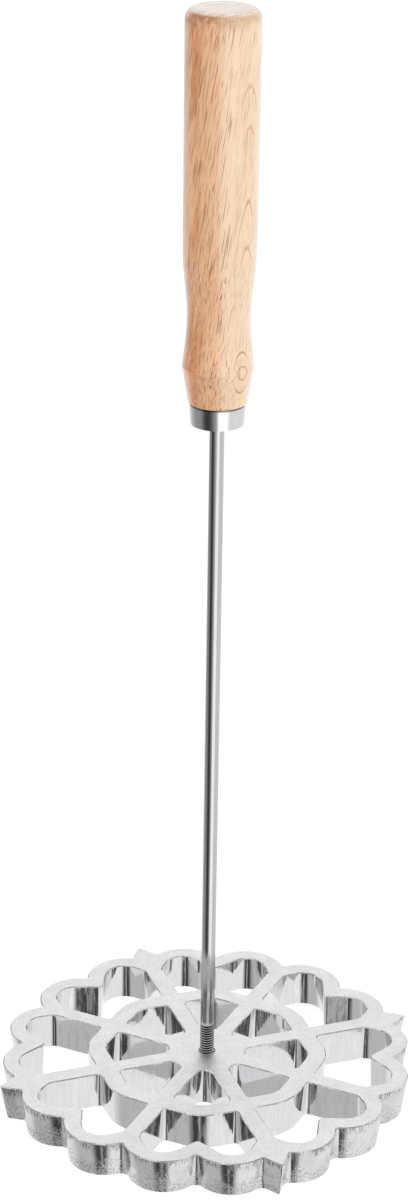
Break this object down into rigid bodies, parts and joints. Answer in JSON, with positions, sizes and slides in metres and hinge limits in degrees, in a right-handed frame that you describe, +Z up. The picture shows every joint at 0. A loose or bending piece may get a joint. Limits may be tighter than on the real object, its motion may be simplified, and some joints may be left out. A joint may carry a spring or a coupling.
{
  "type": "rosette iron",
  "caption": "Pastry-frying iron: a flower-shaped open cast mould screwed on a long thin steel rod, with a steel ferrule and a turned wooden handle.",
  "frame": {"origin": "centre of the mould's underside, on the rod's axis", "axes": "+Z up the rod towards the handle; the mould's spikes point along +X, +Y, -X and -Y"},
  "size_m": [0.1248, 0.1248, 0.3163],
  "materials": {
    "cast_aluminium": "satin, as cast, with ground top faces",
    "rod_steel": "polished",
    "ferrule_steel": "polished",
    "beech": "satin lacquer"
  },
  "bodies": {
    "mould": {"mould": "cast_aluminium"},
    "handle": {"rod": "rod_steel", "ferrule": "ferrule_steel", "handle": "beech"}
  },
  "joints": [
    {"name": "rod_lift", "type": "slide", "parent": "mould", "child": "handle", "axis": [0, 0, 1], "range_m": [0, 0.014]}
  ]
}
